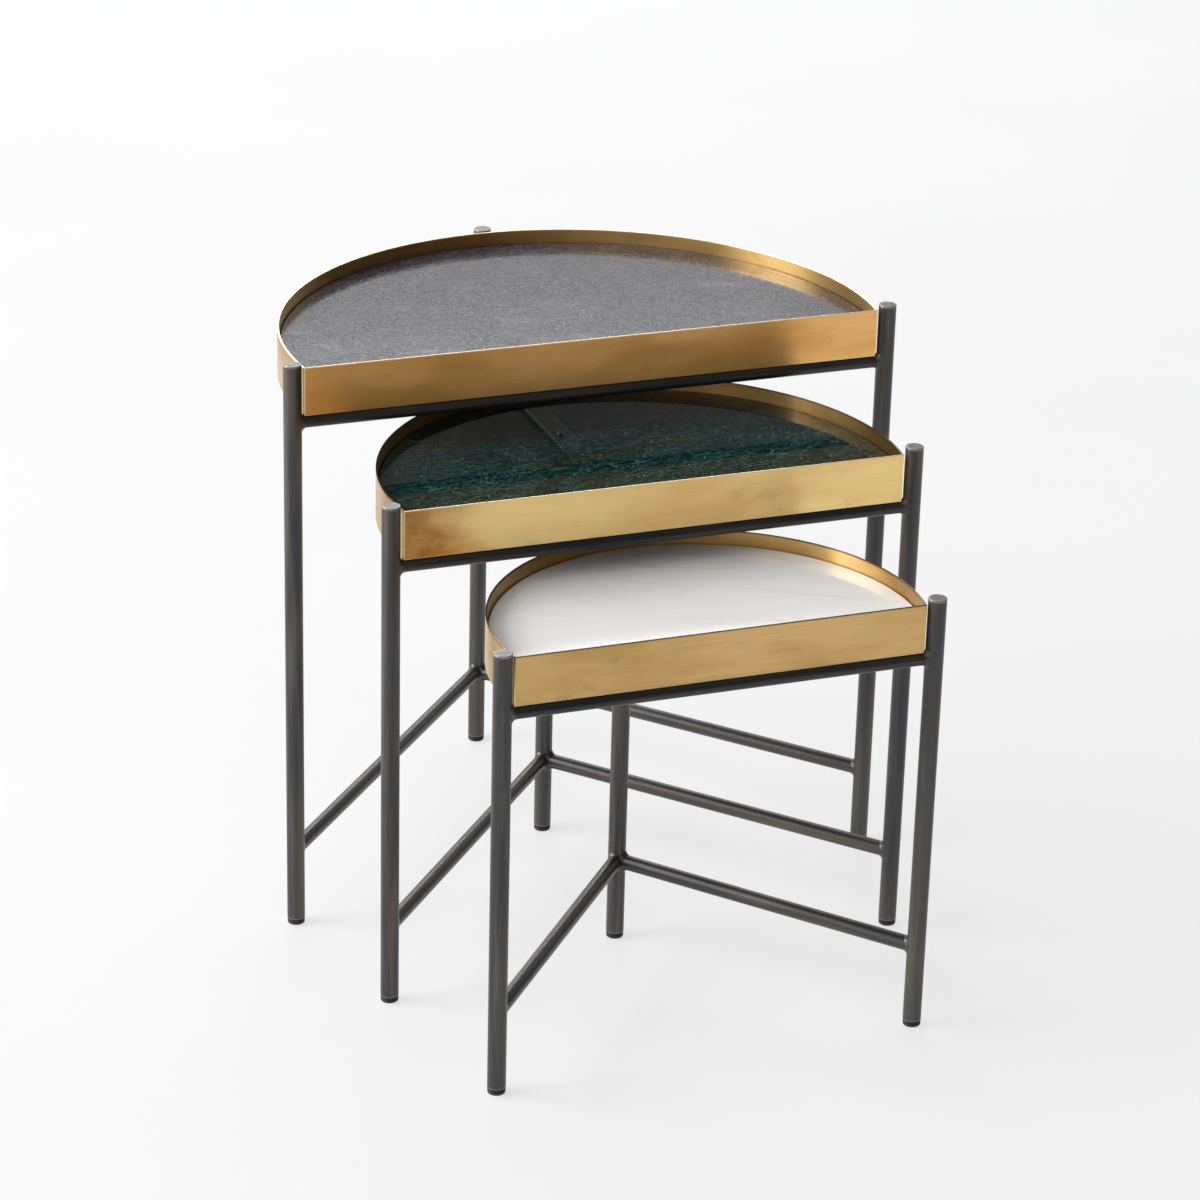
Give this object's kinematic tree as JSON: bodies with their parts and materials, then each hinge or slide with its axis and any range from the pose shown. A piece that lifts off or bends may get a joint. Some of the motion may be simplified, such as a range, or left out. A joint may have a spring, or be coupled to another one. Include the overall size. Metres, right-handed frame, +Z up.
{
  "type": "half-round nesting tables",
  "caption": "Set of half-round side tables in descending sizes, each a stone top in a shallow brass tray on three tubular legs with low stretchers; the smaller ones slide under the larger.",
  "frame": {"origin": "centre of the bounding box on the floor plane, with the three tables fanned out as displayed", "axes": "+Z up, -Y towards the front, where the straight edges of the tops face, +X to the right as seen from the front"},
  "size_m": [0.677, 0.8004, 0.637],
  "materials": {
    "tray_brass": "brushed, antiqued, with bright worn edges",
    "frame_metal": "dark gunmetal bronze patina, semi-gloss, streaked along the tubes",
    "stone_granite": "honed dark grey granite with fine speckle",
    "stone_green_marble": "polished dark green marble with pale veins",
    "stone_white_marble": "polished white marble with soft grey veins",
    "foot_plastic": "satin moulded",
    "backer_board": "raw fibreboard",
    "screw_steel": "zinc plated"
  },
  "bodies": {
    "large_table": {"large_foot_back": "foot_plastic", "large_foot_left": "foot_plastic", "large_foot_right": "foot_plastic", "large_leg_back": "frame_metal", "large_leg_left": "frame_metal", "large_leg_right": "frame_metal", "large_leg_cap_back": "frame_metal", "large_leg_cap_left": "frame_metal", "large_leg_cap_right": "frame_metal", "large_rail_front": "frame_metal", "large_stretcher_left": "frame_metal", "large_stretcher_right": "frame_metal", "large_support_bar": "frame_metal", "large_top_backer": "backer_board", "large_top_stone": "stone_granite", "large_tray_base": "tray_brass", "large_tray_front": "tray_brass", "large_tray_screw_1": "screw_steel", "large_tray_screw_2": "screw_steel", "large_tray_wall": "tray_brass"},
    "medium_table": {"medium_foot_back": "foot_plastic", "medium_foot_left": "foot_plastic", "medium_foot_right": "foot_plastic", "medium_leg_back": "frame_metal", "medium_leg_left": "frame_metal", "medium_leg_right": "frame_metal", "medium_leg_cap_back": "frame_metal", "medium_leg_cap_left": "frame_metal", "medium_leg_cap_right": "frame_metal", "medium_rail_front": "frame_metal", "medium_stretcher_left": "frame_metal", "medium_stretcher_right": "frame_metal", "medium_support_bar": "frame_metal", "medium_top_backer": "backer_board", "medium_top_stone": "stone_green_marble", "medium_tray_base": "tray_brass", "medium_tray_front": "tray_brass", "medium_tray_screw_1": "screw_steel", "medium_tray_screw_2": "screw_steel", "medium_tray_wall": "tray_brass"},
    "small_table": {"small_foot_back": "foot_plastic", "small_foot_left": "foot_plastic", "small_foot_right": "foot_plastic", "small_leg_back": "frame_metal", "small_leg_left": "frame_metal", "small_leg_right": "frame_metal", "small_leg_cap_back": "frame_metal", "small_leg_cap_left": "frame_metal", "small_leg_cap_right": "frame_metal", "small_rail_front": "frame_metal", "small_stretcher_left": "frame_metal", "small_stretcher_right": "frame_metal", "small_support_bar": "frame_metal", "small_top_backer": "backer_board", "small_top_stone": "stone_white_marble", "small_tray_base": "tray_brass", "small_tray_front": "tray_brass", "small_tray_screw_1": "screw_steel", "small_tray_screw_2": "screw_steel", "small_tray_wall": "tray_brass"}
  },
  "joints": [
    {"name": "medium_slide", "type": "slide", "parent": "large_table", "child": "medium_table", "axis": [0, 1, 0], "range_m": [-0.15, 0.194]},
    {"name": "small_slide", "type": "slide", "parent": "medium_table", "child": "small_table", "axis": [0, 1, 0], "range_m": [-0.15, 0.211]}
  ]
}
